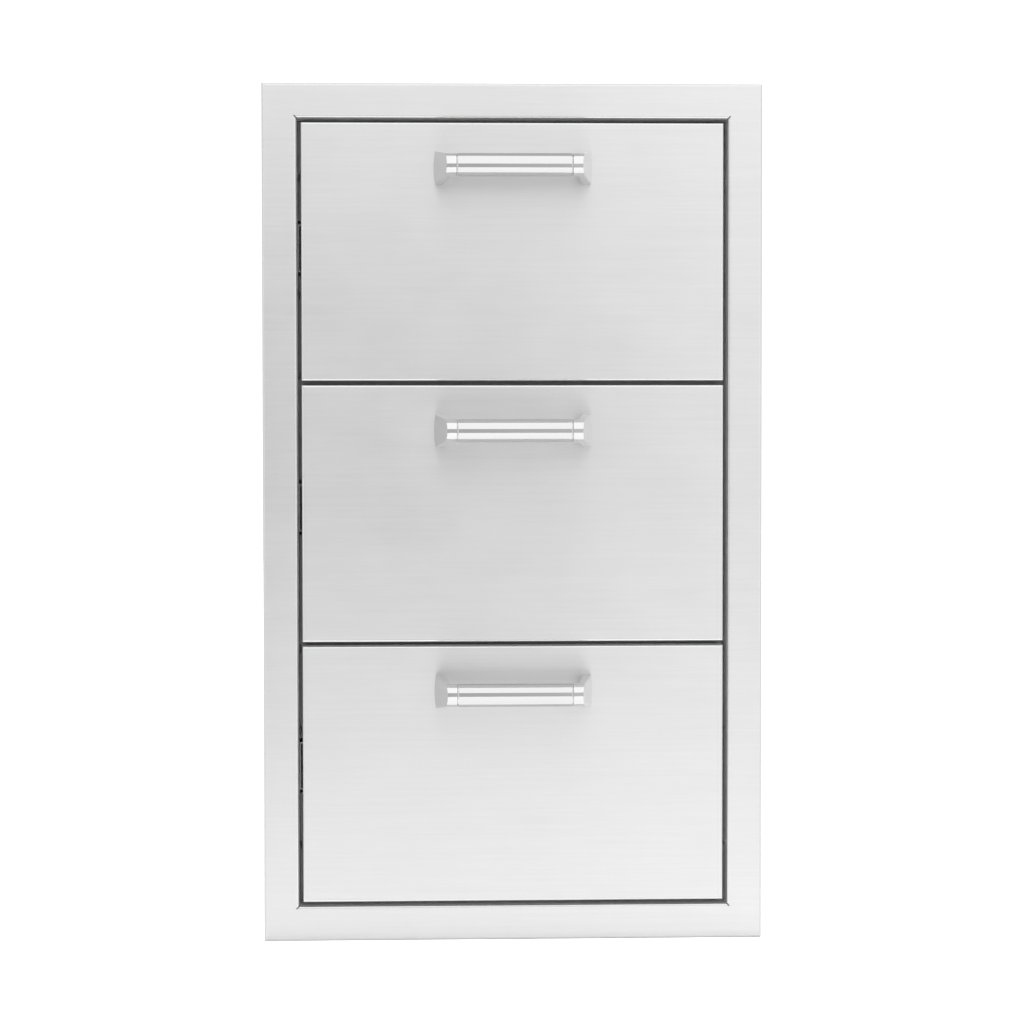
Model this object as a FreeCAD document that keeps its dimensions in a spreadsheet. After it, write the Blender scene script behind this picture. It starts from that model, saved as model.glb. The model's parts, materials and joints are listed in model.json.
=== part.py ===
import FreeCAD, Part

import math
import os

import Sketcher

# Outdoor kitchen drawer unit: a trim frame and case that fasten into a wall opening, and three drawers on
# three-member ball slides. Millimetres, +Z up, fronts facing -Y. The origin is the middle of the trim's lower
# edge in the plane of the wall that the trim lies against, so the case is behind it at +Y.

DIMENSIONS = {
    # Trim frame, folded from one sheet
    "trim_width": 419.0,
    "trim_height": 718.6,
    "trim_border": 29.0,
    "trim_proud": 12.7,
    "trim_sheet": 1.5,
    "trim_bend": 2.0,
    "trim_lip": 10.0,
    "jamb_depth": 34.7,
    "relief_length": 4.6,
    "relief_width": 1.0,
    # Screw holes through the jambs into the masonry or framing
    "mount_hole_diameter": 5.5,
    "mount_hole_setback": 7.0,
    "mount_hole_spacing": 560.0,
    # Case behind the wall
    "case_sheet": 1.0,
    "case_rear": 508.0,
    "case_flange": 12.0,
    "case_lap": 8.0,
    # Flat uprights that carry the slides, level with the jambs
    "upright_width": 30.0,
    "upright_setback": 2.0,
    "rear_upright_place": 425.0,
    "upright_hole_diameter": 4.5,
    "slide_face_inset": 0.3,
    # Drawer fronts
    "reveal": 3.5,
    "front_depth": 19.0,
    "front_sheet": 1.2,
    "front_bend": 1.8,
    "front_lip": 12.0,
    "liner_sheet": 1.0,
    "liner_inset": 2.5,
    # Drawer boxes
    "box_sheet": 1.0,
    "box_height": 150.0,
    "box_length": 450.0,
    "box_lift": 22.0,
    "box_bend": 3.0,
    "hem_height": 8.0,
    # Three-member ball slides
    "drawer_travel": 450.0,
    "slide_length": 457.0,
    "slide_height": 42.0,
    "slide_depth": 12.7,
    "slide_lift": 90.0,
    "slide_setback": 10.0,
    "outer_sheet": 1.2,
    "middle_sheet": 1.0,
    "middle_length": 440.0,
    "middle_setback": 3.0,
    "inner_sheet": 1.0,
    "ball_diameter": 3.5,
    "ball_clearance": 0.1,
    "web_gap": 1.4,
    "race_wall": 0.8,
    "race_shoulder": 0.8,
    "race_lip": 1.2,
    "cage_sheet": 0.6,
    "cage_length": 200.0,
    "cage_gap": 0.3,
    "cage_lip": 1.2,
    "cage_drop": 0.2,
    "bumper_length": 8.0,
    "bumper_height": 12.0,
    "bumper_depth": 4.5,
    "bumper_gap": 0.4,
    # Handles
    "bar_diameter": 19.05,
    "bar_length": 96.3,
    "seam_width": 1.4,
    "seam_depth": 0.6,
    "handle_standoff": 38.0,
    "handle_drop": 38.0,
    "handle_span": 112.1,
    "handle_base_span": 132.4,
    "handle_base_height": 28.0,
    "handle_base_bulge": 1.2,
    "leg_base_width": 7.2,
    "leg_top_width": 5.3,
    "handle_screw_diameter": 4.0,
    "handle_screw_reach": 8.0,
    "handle_screw_inset": 4.6,
    "screw_hole_clearance": 0.2,
    "screw_head_width": 7.0,
    "screw_head_height": 2.8,
}

DRAWERS = ("bottom", "middle", "top")
SIDES = (("left", -1), ("right", 1))
TAN_OCTAGON = math.tan(math.pi / 8)
ROOT_HALF = math.sqrt(0.5)


class Size:
    """A length as a number, and as the expression that binds it to the sheet's cells."""

    def __init__(self, value, text):
        self.value = value
        self.text = text

    def joined(self, other, sign, value):
        if isinstance(other, Size):
            return Size(value, f"({self.text} {sign} {other.text})")
        return Size(value, f"({self.text} {sign} {plain(other)})")

    def __add__(self, other):
        return self.joined(other, "+", self.value + number(other))

    def __sub__(self, other):
        return self.joined(other, "-", self.value - number(other))

    def __mul__(self, other):
        return self.joined(other, "*", self.value * number(other))

    def __truediv__(self, other):
        return self.joined(other, "/", self.value / number(other))

    def __neg__(self):
        return self * -1

    def __radd__(self, other):
        return self + other

    def __rmul__(self, other):
        return self * other

    def __rsub__(self, other):
        return Size(number(other) - self.value, f"({text_of(other)} - {self.text})")


def number(thing):
    return thing.value if isinstance(thing, Size) else thing


def plain(value):
    """A number as the sheet's expressions read it, with a negative one in brackets."""
    return f"{value:.9f}" if value >= 0 else f"({value:.9f})"


def text_of(thing):
    return thing.text if isinstance(thing, Size) else plain(thing)


doc = FreeCAD.newDocument("DrawerUnit")
sheet = doc.addObject("Spreadsheet::Sheet", "Sizes")
for row, (alias, amount) in enumerate(DIMENSIONS.items(), start=1):
    sheet.set(f"A{row}", alias)
    sheet.set(f"B{row}", str(amount))
    sheet.setAlias(f"B{row}", alias)
doc.recompute()

size = {alias: Size(amount, f"Sizes.{alias}") for alias, amount in DIMENSIONS.items()}
subparts = []


# Drawing and building helpers

def bind(thing, prop, value):
    thing.setExpression(prop, text_of(value))


def place(thing, x=0.0, y=0.0, z=0.0):
    """Moves a piece to a place that follows the sheet."""
    for axis, value in (("x", x), ("y", y), ("z", z)):
        if isinstance(value, Size) or value:
            bind(thing, f"Placement.Base.{axis}", value)


def keep(thing):
    """Lists a sub-part for export. Its Label names its file."""
    subparts.append(thing)
    return thing


def new_body(label):
    body = doc.addObject("PartDesign::Body", label + "_body")
    body.Label = label
    return body


def new_sketch(body, plane, height=0.0):
    """An empty sketch on one of the body's origin planes, or at a height above it along its normal."""
    sketch = body.newObject("Sketcher::SketchObject", body.Name + "_sketch")
    support = [f for f in body.Origin.OriginFeatures if f.Role == plane]
    sketch.AttachmentSupport = [(support[0], "")]
    sketch.MapMode = "FlatFace"
    if isinstance(height, Size) or height:
        bind(sketch, "AttachmentOffset.Base.z", height)
    return sketch


def vector(point):
    return FreeCAD.Vector(number(point[0]), number(point[1]), 0)


def constrain(sketch, rules):
    """Adds constraints, each with the value that drives it, and binds those values to the sheet."""
    first = sketch.ConstraintCount
    sketch.addConstraint([rule for rule, driver in rules])
    for index, (rule, driver) in enumerate(rules, start=first):
        if isinstance(driver, Size):
            bind(sketch, f"Constraints[{index}]", driver)


def pin(geometry, end, point):
    """The two constraints that hold one end of a line, or a circle's centre, at a point."""
    x, y = point
    return [
        (Sketcher.Constraint("DistanceX", -1, 1, geometry, end, number(x)), x),
        (Sketcher.Constraint("DistanceY", -1, 1, geometry, end, number(y)), y),
    ]


def outline(sketch, points):
    """A closed polygon through the points."""
    first = sketch.GeometryCount
    count = len(points)
    lines = [Part.LineSegment(vector(points[i]), vector(points[(i + 1) % count])) for i in range(count)]
    sketch.addGeometry(lines, False)
    rules = []
    for i in range(count):
        following = first + (i + 1) % count
        rules.append((Sketcher.Constraint("Coincident", first + i, 2, following, 1), None))
        rules += pin(first + i, 1, points[i])
    constrain(sketch, rules)


def rectangle(sketch, low, high):
    """A rectangle from its lowest to its highest corner."""
    (x0, y0), (x1, y1) = low, high
    outline(sketch, [(x0, y0), (x1, y0), (x1, y1), (x0, y1)])


def circle(sketch, centre, diameter):
    shape = Part.Circle(vector(centre), FreeCAD.Vector(0, 0, 1), number(diameter) / 2)
    index = sketch.addGeometry(shape, False)
    rules = pin(index, 3, centre)
    rules.append((Sketcher.Constraint("Diameter", index, number(diameter)), diameter))
    constrain(sketch, rules)


def pad(body, sketch, length, way=1):
    """Adds material along the sketch plane's normal, or against it with way -1."""
    feature = body.newObject("PartDesign::Pad", body.Name + "_pad")
    feature.Profile = sketch
    bind(feature, "Length", length)
    feature.Reversed = way < 0
    return feature


def pocket(body, sketch, length=None, way=1):
    """Cuts along the sketch plane's normal, against it with way -1, or right through with no length."""
    feature = body.newObject("PartDesign::Pocket", body.Name + "_pocket")
    feature.Profile = sketch
    if length is None:
        feature.Type = "ThroughAll"
        feature.Midplane = True
    else:
        bind(feature, "Length", length)
        feature.Reversed = way > 0
    return feature


def edge_names(shape, test):
    """Names of the edges whose bounding box passes the test."""
    return [f"Edge{i}" for i, edge in enumerate(shape.Edges, start=1) if test(edge.BoundBox)]


def fillet(body, radius, test):
    """Rounds the edges of the body's last feature that pass the test."""
    doc.recompute()
    last = body.Tip
    feature = body.newObject("PartDesign::Fillet", body.Name + "_fillet")
    feature.Base = (last, edge_names(last.Shape, test))
    bind(feature, "Radius", radius)
    return feature


def near(first, second):
    return abs(first - second) < 1e-4


def slab(label, low, high):
    """A plain sheet or block between two corners, as one sub-part or a piece of one."""
    box = doc.addObject("Part::Box", label + "_slab")
    box.Label = label
    for prop, lowest, highest in zip(("Length", "Width", "Height"), low, high):
        bind(box, prop, highest - lowest)
    place(box, *low)
    return box


def group(label, pieces):
    """Identical pieces that share one node, each a solid of its own."""
    together = doc.addObject("Part::Compound", label + "_group")
    together.Label = label
    together.Links = pieces
    return keep(together)


def ribbon(path, headings, thickness):
    """The outline of a folded sheet of even thickness whose middle line follows the path.

    headings holds each segment's direction in degrees, from which each fold's mitre is worked out.
    """
    normals = [(-math.sin(math.radians(a)), math.cos(math.radians(a))) for a in headings]
    half = thickness / 2
    left, right = [], []
    for i, (x, y) in enumerate(path):
        before = normals[max(i - 1, 0)]
        after = normals[min(i, len(normals) - 1)]
        share = 1 + before[0] * after[0] + before[1] * after[1]
        mitre_x = half * ((before[0] + after[0]) / share)
        mitre_y = half * ((before[1] + after[1]) / share)
        left.append((x + mitre_x, y + mitre_y))
        right.append((x - mitre_x, y - mitre_y))
    return left + right[::-1]


def mirrored_ribbon(half_path, half_headings, thickness):
    """A ribbon that is the same above and below the X axis, from the upper half of its path.

    The first segment of the upper half starts on the axis and goes straight up.
    """
    upper = half_path[1:]
    lower = [(x, -y) for x, y in reversed(upper)]
    lower_headings = [180 - a for a in reversed(half_headings[1:])]
    return ribbon(lower + upper, lower_headings + half_headings, thickness)


# Values that several pieces share

face_y = -size["trim_proud"]
half_width = size["trim_width"] / 2
opening_x = half_width - size["trim_border"]
opening_low = size["trim_border"]
opening_high = size["trim_height"] - size["trim_border"]
opening_height = opening_high - opening_low
jamb_rear = face_y + size["jamb_depth"]
jamb_x = opening_x + size["trim_sheet"]
jamb_low = opening_low - size["trim_sheet"]
jamb_high = opening_high + size["trim_sheet"]
middle_z = size["trim_height"] / 2
lap_front = jamb_rear - size["case_lap"]
slide_face_x = opening_x - size["slide_face_inset"]

front_width = opening_x * 2 - size["reveal"] * 2
front_height = (opening_height - size["reveal"] * (len(DRAWERS) + 1)) / len(DRAWERS)
front_back = face_y + size["front_depth"]
liner_back = front_back + size["liner_sheet"]
box_x = slide_face_x - size["slide_depth"]
slide_front = liner_back + size["slide_setback"] - size["liner_sheet"]


def front_low(number_up):
    """Height of the lower edge of a drawer front, counted from 0 at the bottom."""
    return opening_low + size["reveal"] + (front_height + size["reveal"]) * number_up


# Trim frame and case

def trim_frame():
    """Face ring with its outer edge returned to a lip on the wall, and its inner edge turned in as jambs."""
    body = new_body("trim_frame")
    outer_low, outer_high = (-half_width, 0.0), (half_width, size["trim_height"])
    blank = new_sketch(body, "XZ_Plane")
    rectangle(blank, outer_low, outer_high)
    pad(body, blank, size["trim_proud"])
    front = number(face_y)

    def outer_face_edge(box):
        flat = near(box.YMin, front) and near(box.YMax, front)
        on_side = near(abs(box.XMin), number(half_width)) and near(box.XMin, box.XMax)
        on_end = near(box.ZMin, box.ZMax)
        return flat and (on_side or on_end)

    fillet(body, size["trim_bend"], outer_face_edge)

    hollow = new_sketch(body, "XZ_Plane")
    wall = size["trim_sheet"]
    rectangle(hollow, (outer_low[0] + wall, wall), (outer_high[0] - wall, outer_high[1] - wall))
    pocket(body, hollow, size["trim_proud"] - wall)

    lip = new_sketch(body, "XZ_Plane")
    inset = size["trim_lip"]
    rectangle(lip, outer_low, outer_high)
    rectangle(lip, (outer_low[0] + inset, inset), (outer_high[0] - inset, outer_high[1] - inset))
    pad(body, lip, wall)

    jambs = new_sketch(body, "XZ_Plane", -jamb_rear)
    rectangle(jambs, (-jamb_x, jamb_low), (jamb_x, jamb_high))
    pad(body, jambs, size["jamb_depth"])
    opening = new_sketch(body, "XZ_Plane")
    rectangle(opening, (-opening_x, opening_low), (opening_x, opening_high))
    pocket(body, opening)

    inner_x, inner_low, inner_high = number(opening_x), number(opening_low), number(opening_high)

    def inner_face_edge(box):
        if not (near(box.YMin, front) and near(box.YMax, front)):
            return False
        side = near(box.XMin, box.XMax) and near(abs(box.XMin), inner_x)
        end = near(box.ZMin, box.ZMax) and (near(box.ZMin, inner_low) or near(box.ZMin, inner_high))
        return side or end

    fillet(body, size["trim_bend"], inner_face_edge)
    corner_reliefs(body)
    mount_holes(body)
    return body


def corner_reliefs(body):
    """Slits at 45 degrees from the opening's corners, where the jambs were folded back."""
    sketch = new_sketch(body, "XZ_Plane", size["trim_proud"])
    side = size["relief_width"] / 2 * ROOT_HALF
    reach = size["relief_length"] * ROOT_HALF
    for sign_x in (-1, 1):
        for sign_z, corner_z in ((-1, opening_low), (1, opening_high)):
            x, z = opening_x * sign_x, corner_z
            outline(sketch, [
                (x - sign_x * (reach + side), z - sign_z * (reach - side)),
                (x - sign_x * (reach - side), z - sign_z * (reach + side)),
                (x + sign_x * (reach + side), z + sign_z * (reach - side)),
                (x + sign_x * (reach - side), z + sign_z * (reach + side)),
            ])
    pocket(body, sketch, size["trim_bend"] + size["trim_sheet"], way=-1)


def mount_holes(body):
    """Two screw holes in each jamb, between the wall's plane and the side panel's lap."""
    sketch = new_sketch(body, "YZ_Plane")
    for sign in (-1, 1):
        centre_z = middle_z + size["mount_hole_spacing"] / 2 * sign
        circle(sketch, (size["mount_hole_setback"], centre_z), size["mount_hole_diameter"])
    pocket(body, sketch)


def case_side(name, sign):
    """Side panel with flanges turned in at its top, bottom and rear, lapped over the outside of the jamb."""
    body = new_body(f"case_{name}_side")
    wall = size["case_sheet"]
    low, high = jamb_low - wall * 2, jamb_high + wall * 2
    outer = jamb_x + wall
    blank = new_sketch(body, "YZ_Plane", outer * sign)
    rectangle(blank, (lap_front, low), (size["case_rear"], high))
    depth = wall + size["case_flange"]
    pad(body, blank, depth, way=-sign)
    hollow = new_sketch(body, "YZ_Plane", jamb_x * sign)
    rectangle(hollow, (lap_front - wall, low + wall), (size["case_rear"] - wall, high - wall))
    pocket(body, hollow, size["case_flange"] + wall, way=-sign)
    return body


def case_panels():
    """Top, bottom and back panels, held inside the side panels' flanges."""
    wall = size["case_sheet"]
    rear = size["case_rear"] - wall
    keep(slab("case_top", (-jamb_x, lap_front, jamb_high), (jamb_x, rear, jamb_high + wall)))
    keep(slab("case_bottom", (-jamb_x, lap_front, jamb_low - wall), (jamb_x, rear, jamb_low)))
    keep(slab("case_back", (-jamb_x, rear - wall, jamb_low), (jamb_x, rear, jamb_high)))


def upright(label, sign, start_y):
    """Flat bar from the case's bottom to its top, with a hole for one screw of each slide."""
    body = new_body(label)
    half = size["upright_width"] / 2
    blank = new_sketch(body, "YZ_Plane", slide_face_x * sign)
    rectangle(blank, (-half, jamb_low), (half, jamb_high))
    pad(body, blank, jamb_x - slide_face_x, way=sign)
    holes = new_sketch(body, "YZ_Plane")
    for number_up in range(len(DRAWERS)):
        circle(holes, (0.0, slide_height_of(number_up)), size["upright_hole_diameter"])
    pocket(body, holes)
    place(body, y=start_y + half)
    return body


# Ball slides

ball_reach = size["ball_diameter"] / 2 + size["ball_clearance"]
outer_race = ball_reach + size["outer_sheet"] / 2
middle_race = ball_reach + size["middle_sheet"] / 2
inner_race = ball_reach + size["inner_sheet"] / 2
middle_web_x = size["outer_sheet"] + size["web_gap"] + size["middle_sheet"] / 2
outer_ball_x = middle_web_x + size["race_shoulder"] + size["race_wall"] + middle_race * TAN_OCTAGON
outer_ball_z = size["slide_height"] / 2 - ball_reach - size["outer_sheet"]
ball_step = (ball_reach * 2 + size["middle_sheet"]) * ROOT_HALF
inner_ball_x = outer_ball_x + ball_step
inner_ball_z = outer_ball_z - ball_step
inner_web_x = size["slide_depth"] - size["inner_sheet"] / 2
middle_front = slide_front + size["middle_setback"]
middle_back = middle_front + size["middle_length"]


def slide_height_of(number_up):
    return front_low(number_up) + size["box_lift"] + size["slide_lift"]


def outer_section():
    """Half path of the member on the case: the race wraps the upper side of the outer balls."""
    web_x = size["outer_sheet"] / 2
    wall, lip, flat = size["race_wall"], size["race_lip"], outer_race * TAN_OCTAGON
    crown = outer_ball_z + outer_race
    path = [
        (web_x, 0.0),
        (web_x, crown - wall),
        (outer_ball_x - flat - wall, crown - wall),
        (outer_ball_x - flat, crown),
        (outer_ball_x + flat, crown),
        (outer_ball_x + flat + lip, crown - lip),
    ]
    return path, [90, 0, 45, 0, -45], size["outer_sheet"]


def middle_section():
    """Half path of the telescoping member: an S fold under the outer balls and over the inner ones."""
    wall, lip, flat = size["race_wall"], size["race_lip"], middle_race * TAN_OCTAGON
    floor = outer_ball_z - middle_race
    crown = inner_ball_z + middle_race
    path = [
        (middle_web_x, 0.0),
        (middle_web_x, floor + wall),
        (outer_ball_x - flat - wall, floor + wall),
        (outer_ball_x - flat, floor),
        (outer_ball_x + flat, floor),
        (inner_ball_x - flat, crown),
        (inner_ball_x + flat, crown),
        (inner_ball_x + flat + lip, crown - lip),
    ]
    return path, [90, 0, -45, 0, 45, 0, -45], size["middle_sheet"]


def inner_section():
    """Half path of the member on the drawer: the race cradles the lower side of the inner balls."""
    wall, lip, flat = size["race_wall"], size["race_lip"], inner_race * TAN_OCTAGON
    floor = inner_ball_z - inner_race
    path = [
        (inner_web_x, 0.0),
        (inner_web_x, floor + wall),
        (inner_ball_x + flat + wall, floor + wall),
        (inner_ball_x + flat, floor),
        (inner_ball_x - flat, floor),
        (inner_ball_x - flat - lip, floor + lip),
    ]
    return path, [90, 180, 225, 180, 135], size["inner_sheet"]


def outer_cage_section():
    """Half path of the retainer between the outer and middle members, reaching past the outer balls."""
    web_x = size["outer_sheet"] + size["web_gap"] / 2
    path = [
        (web_x, 0.0),
        (web_x, outer_ball_z),
        (outer_ball_x + size["cage_lip"], outer_ball_z),
    ]
    return path, [90, 0], size["cage_sheet"]


def inner_cage_section():
    """Half path of the retainer between the middle and inner members, reaching past the inner balls."""
    web_x = middle_web_x + (size["middle_sheet"] + size["cage_sheet"]) / 2 + size["cage_gap"]
    height = inner_ball_z - size["cage_drop"]
    path = [
        (web_x, 0.0),
        (web_x, height),
        (inner_ball_x + size["cage_lip"], height),
    ]
    return path, [90, 0], size["cage_sheet"]


def rail(label, section, at, start_y, length):
    """One slide member on the side and drawer that at names: its front section, padded back along Y."""
    path, headings, thickness = section
    sign, number_up = at
    body = doc.addObject("PartDesign::Body", label + "_body")
    body.Label = label
    points = mirrored_ribbon(path, headings, thickness)
    # Section X counts from the upright's face towards the drawer, so it is turned over on the right side.
    points = [(x * -sign, z) for x, z in points]
    sketch = new_sketch(body, "XZ_Plane")
    outline(sketch, points)
    pad(body, sketch, length, way=-1)
    place(body, slide_face_x * sign, start_y, slide_height_of(number_up))
    return body


def slide_bumper(name, sign, number_up):
    """Rubber stop on the outer member's web, just behind the rear end of the middle member."""
    inner_x = (slide_face_x - size["outer_sheet"]) * sign
    depth = size["bumper_depth"] * sign
    low_x, high_x = (inner_x - depth, inner_x) if sign > 0 else (inner_x, inner_x - depth)
    low_y = middle_back + size["bumper_gap"]
    centre = slide_height_of(number_up)
    half = size["bumper_height"] / 2
    low = (low_x, low_y, centre - half)
    high = (high_x, low_y + size["bumper_length"], centre + half)
    return slab(f"bumper_{DRAWERS[number_up]}_{name}", low, high)


def slides(number_up):
    """Both slides of one drawer, with the cages centred on the overlap that is left at full extension."""
    drawer = DRAWERS[number_up]
    half_travel = size["drawer_travel"] / 2
    inner_back = slide_front + size["slide_length"]
    open_outer = (slide_front + middle_back - half_travel) / 2
    open_inner = (middle_front - half_travel + inner_back - size["drawer_travel"]) / 2
    outer_cage_y = open_outer + half_travel / 2 - size["cage_length"] / 2
    inner_cage_y = open_inner + half_travel * 3 / 2 - size["cage_length"] / 2
    cage_length = size["cage_length"]
    outer_cages, inner_cages = [], []
    for name, sign in SIDES:
        at = (sign, number_up)
        stem = f"{drawer}_{name}"
        keep(rail(f"{stem}_outer_rail", outer_section(), at, slide_front, size["slide_length"]))
        keep(rail(f"{stem}_middle_rail", middle_section(), at, middle_front, size["middle_length"]))
        keep(rail(f"{stem}_inner_rail", inner_section(), at, slide_front, size["slide_length"]))
        outer_cages.append(rail(f"{stem}_outer_cage", outer_cage_section(), at, outer_cage_y, cage_length))
        inner_cages.append(rail(f"{stem}_inner_cage", inner_cage_section(), at, inner_cage_y, cage_length))
    group(f"{drawer}_outer_cages", outer_cages)
    group(f"{drawer}_inner_cages", inner_cages)


# Drawers

screw_x = size["handle_base_span"] / 2 - size["handle_screw_inset"]


def handle_z(number_up):
    return front_low(number_up) + front_height - size["handle_drop"]


def drawer_front(number_up):
    """Pan with its edges returned to the back and lipped, and a clearance hole for each handle screw."""
    body = new_body(f"{DRAWERS[number_up]}_front")
    half = front_width / 2
    wall, lip = size["front_sheet"], size["front_lip"]
    blank = new_sketch(body, "XZ_Plane", -front_back)
    rectangle(blank, (-half, 0.0), (half, front_height))
    pad(body, blank, size["front_depth"])
    front = number(face_y)
    fillet(body, size["front_bend"], lambda box: near(box.YMin, front) and near(box.YMax, front))
    hollow = new_sketch(body, "XZ_Plane", -front_back)
    rectangle(hollow, (-half + wall, wall), (half - wall, front_height - wall))
    pocket(body, hollow, size["front_depth"] - wall)
    lips = new_sketch(body, "XZ_Plane", -front_back)
    rectangle(lips, (-half, 0.0), (half, front_height))
    rectangle(lips, (-half + lip, lip), (half - lip, front_height - lip))
    pad(body, lips, wall)
    holes = new_sketch(body, "XZ_Plane", -face_y)
    for name, sign in SIDES:
        centre = (screw_x * sign, front_height - size["handle_drop"])
        circle(holes, centre, size["handle_screw_diameter"] + size["screw_hole_clearance"])
    pocket(body, holes, wall * 2, way=-1)
    place(body, z=front_low(number_up))
    return body


def front_liner(number_up):
    """Flat inner skin that closes the back of the front."""
    half = front_width / 2 - size["liner_inset"]
    low_z = front_low(number_up) + size["liner_inset"]
    high_z = front_low(number_up) + front_height - size["liner_inset"]
    label = f"{DRAWERS[number_up]}_front_liner"
    return slab(label, (-half, front_back, low_z), (half, liner_back, high_z))


def drawer_box(number_up):
    """Open pan, its sides folded up from its floor, with a hem doubled inwards round its rim."""
    body = new_body(f"{DRAWERS[number_up]}_box")
    length, height, wall = size["box_length"], size["box_height"], size["box_sheet"]
    blank = new_sketch(body, "XY_Plane")
    rectangle(blank, (-box_x, 0.0), (box_x, length))
    pad(body, blank, height)
    rim, reach = number(height), number(length)
    fillet(body, size["box_bend"], lambda edge: near(edge.ZMax, 0) and near(edge.YLength, reach))
    doc.recompute()
    solid = body.Tip
    faces = enumerate(solid.Shape.Faces, start=1)
    rim_face = [f"Face{i}" for i, face in faces if near(face.BoundBox.ZMin, rim)]
    shell = body.newObject("PartDesign::Thickness", body.Name + "_shell")
    shell.Base = (solid, rim_face)
    bind(shell, "Value", wall)
    shell.Reversed = True
    hem = new_sketch(body, "XY_Plane", height - size["hem_height"])
    rectangle(hem, (-box_x + wall, wall), (box_x - wall, length - wall))
    rectangle(hem, (-box_x + wall * 2, wall * 2), (box_x - wall * 2, length - wall * 2))
    pad(body, hem, size["hem_height"])
    place(body, 0.0, liner_back, front_low(number_up) + size["box_lift"])
    return body


def handle_bar(number_up):
    """Round bar between the two brackets, its ends bevelled so that a shallow groove shows at each seam."""
    body = new_body(f"{DRAWERS[number_up]}_handle_bar")
    half, bevel = size["bar_length"] / 2, size["seam_width"]
    radius, floor = size["bar_diameter"] / 2, size["bar_diameter"] / 2 - size["seam_depth"]
    section = new_sketch(body, "XY_Plane")
    outline(section, [
        (-half, 0.0),
        (half, 0.0),
        (half, floor),
        (half - bevel, radius),
        (-half + bevel, radius),
        (-half, floor),
    ])
    turn = body.newObject("PartDesign::Revolution", body.Name + "_turn")
    turn.Profile = section
    turn.ReferenceAxis = (section, ["H_Axis"])
    turn.Angle = 360
    place(body, 0.0, face_y - size["handle_standoff"], handle_z(number_up))
    return body


def handle_bracket(name, sign, number_up):
    """Cast end: a leg that flares to its base, and a cap that carries on the line of the bar."""
    body = new_body(f"{DRAWERS[number_up]}_handle_{name}_bracket")
    standoff, radius = size["handle_standoff"], size["bar_diameter"] / 2
    cap_x = size["bar_length"] / 2
    base_x = size["handle_base_span"] / 2
    nose = standoff + radius
    margin = radius

    leg = new_sketch(body, "YZ_Plane", cap_x * sign)
    flared_profile(leg, standoff, size["handle_base_height"] / 2, radius)
    pad(body, leg, base_x - cap_x, way=sign)

    # The leg leans outwards towards its base, and so do both of its faces.
    slope = (base_x - size["handle_span"] / 2) / nose
    inner_base_x = base_x - size["leg_base_width"]
    inner_bar_x = base_x - slope * standoff - size["leg_top_width"]
    lean = (inner_base_x - inner_bar_x) / standoff
    inside = new_sketch(body, "XY_Plane")
    outline(inside, [
        ((inner_base_x + lean * margin) * sign, margin),
        ((inner_base_x - lean * (nose + margin)) * sign, -nose - margin),
        (0.0, -nose - margin),
        (0.0, margin),
    ])
    pocket(body, inside)

    cap = new_sketch(body, "YZ_Plane", cap_x * sign)
    circle(cap, (-standoff, 0.0), size["bar_diameter"])
    pad(body, cap, base_x - cap_x, way=sign)
    outside = new_sketch(body, "XY_Plane")
    outline(outside, [
        ((base_x + slope * margin) * sign, margin),
        ((base_x - slope * (nose + margin)) * sign, -nose - margin),
        ((base_x + margin) * sign, -nose - margin),
        ((base_x + margin) * sign, margin),
    ])
    pocket(body, outside)
    bulged_side(body, sign, base_x)
    tapped = new_sketch(body, "XZ_Plane")
    circle(tapped, (screw_x * sign, 0.0), size["handle_screw_diameter"] + size["screw_hole_clearance"])
    pocket(body, tapped, size["handle_screw_reach"] + size["screw_hole_clearance"])
    place(body, 0.0, face_y, handle_z(number_up))
    return body


def bulged_side(body, sign, base_x):
    """Rounds the bracket's outer side, so that it is widest level with the bar."""
    half, bulge = size["handle_base_height"] / 2, size["handle_base_bulge"]
    radius = (half * half + bulge * bulge) / (bulge * 2)
    sketch = new_sketch(body, "XZ_Plane")
    reach = base_x * 2
    rectangle(sketch, (-reach, -reach), (reach, reach))
    circle(sketch, ((base_x - radius) * sign, 0.0), radius * 2)
    pocket(body, sketch)


def flared_profile(sketch, standoff, half_base, radius):
    """The bracket from its end: straight flanks from the base's corners, tangent to the bar's circle."""
    away, half, round_off = number(standoff), number(half_base), number(radius)
    reach = math.hypot(away, half)
    touch = math.atan2(half, away) + math.acos(round_off / reach)
    touch_x, touch_y = round_off * math.cos(touch) - away, round_off * math.sin(touch)
    top, low = FreeCAD.Vector(0, half, 0), FreeCAD.Vector(0, -half, 0)
    ring = Part.Circle(FreeCAD.Vector(-away, 0, 0), FreeCAD.Vector(0, 0, 1), round_off)
    sketch.addGeometry([
        Part.LineSegment(low, top),
        Part.LineSegment(top, FreeCAD.Vector(touch_x, touch_y, 0)),
        Part.ArcOfCircle(ring, touch, 2 * math.pi - touch),
        Part.LineSegment(FreeCAD.Vector(touch_x, -touch_y, 0), low),
    ], False)
    rules = pin(0, 1, (0.0, -half_base)) + pin(0, 2, (0.0, half_base)) + pin(2, 3, (-standoff, 0.0))
    rules.append((Sketcher.Constraint("Coincident", 0, 2, 1, 1), None))
    rules.append((Sketcher.Constraint("Tangent", 1, 2, 2, 1), None))
    rules.append((Sketcher.Constraint("Tangent", 2, 2, 3, 1), None))
    rules.append((Sketcher.Constraint("Coincident", 3, 2, 0, 1), None))
    rules.append((Sketcher.Constraint("Radius", 2, round_off), radius))
    constrain(sketch, rules)


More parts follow.
